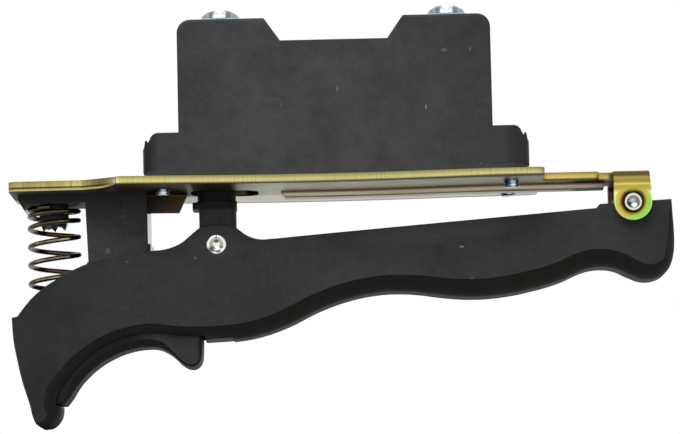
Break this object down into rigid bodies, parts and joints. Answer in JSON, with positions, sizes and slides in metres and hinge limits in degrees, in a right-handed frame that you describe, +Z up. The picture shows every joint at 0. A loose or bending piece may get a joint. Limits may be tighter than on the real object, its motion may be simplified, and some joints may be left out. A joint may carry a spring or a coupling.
{
  "type": "pushbutton switch",
  "caption": "Trigger-lever pushbutton switch: moulded switch box on a bent steel plate, with a hinged finger trigger, lock-off lever, return spring and plunger.",
  "frame": {"origin": "centre of the four fixing screws, on the underside of the mounting plate", "axes": "+X along the plate towards the hinge, +Z up through the switch box, +Y across the plate"},
  "size_m": [0.1645, 0.044, 0.1026],
  "materials": {
    "yellow_zinc": "yellow-passivated zinc on steel sheet",
    "black_moulding": "black glass-filled moulding, fine grain",
    "trigger_moulding": "black moulding, scuffed",
    "lever_moulding": "black moulding",
    "plunger_moulding": "black acetal, smooth",
    "zinc_steel": "bright zinc",
    "rivet_steel": "bright steel",
    "spring_steel": "oiled spring wire",
    "contact_brass": "brass strip",
    "contact_silver": "silver contact"
  },
  "bodies": {
    "carrier": {"mounting_plate": "yellow_zinc", "switch_housing": "black_moulding", "base_cover": "black_moulding", "fixing_screws": "zinc_steel", "terminal_screws": "zinc_steel", "terminal_clamps": "zinc_steel", "line_contact_near": "contact_brass", "line_contact_far": "contact_brass", "load_contact_near": "contact_brass", "load_contact_far": "contact_brass", "fixed_tips": "contact_silver", "lock_post": "black_moulding", "post_screws": "zinc_steel", "hinge_rivet": "rivet_steel", "trigger_spring": "spring_steel", "plunger_spring": "spring_steel"},
    "button": {"plunger": "plunger_moulding", "contact_carrier": "plunger_moulding", "bridge_near": "contact_brass", "bridge_far": "contact_brass", "bridge_tips": "contact_silver", "contact_spring_near": "spring_steel", "contact_spring_far": "spring_steel"},
    "trigger_lever": {"trigger": "trigger_moulding", "link_rivet": "rivet_steel", "lever_spring": "spring_steel"},
    "lock_off": {"lock_lever": "lever_moulding"}
  },
  "joints": [
    {"name": "trigger_pivot", "type": "hinge", "parent": "carrier", "child": "trigger_lever", "pos_m": [0.0731, 0, -0.006], "axis": [0, 1, 0], "range_deg": [0, 3.5], "stiffness_Nm_per_rad": 8, "springref_deg": -5.73, "deforming": ["trigger_spring"]},
    {"name": "plunger_slide", "type": "slide", "parent": "carrier", "child": "button", "axis": [0, 0, 1], "range_m": [0, 0.0064], "deforming": ["plunger_spring"]},
    {"name": "lock_pivot", "type": "hinge", "parent": "trigger_lever", "child": "lock_off", "pos_m": [-0.0716, 0, -0.05], "axis": [0, -1, 0], "range_deg": [0, 7.02], "deforming": ["lever_spring"]}
  ],
  "couplings": [
    {"joint": "plunger_slide", "follows": "trigger_pivot", "m_per_rad": 0.1032},
    {"joint": "lock_pivot", "follows": "trigger_pivot", "ratio": 2}
  ]
}
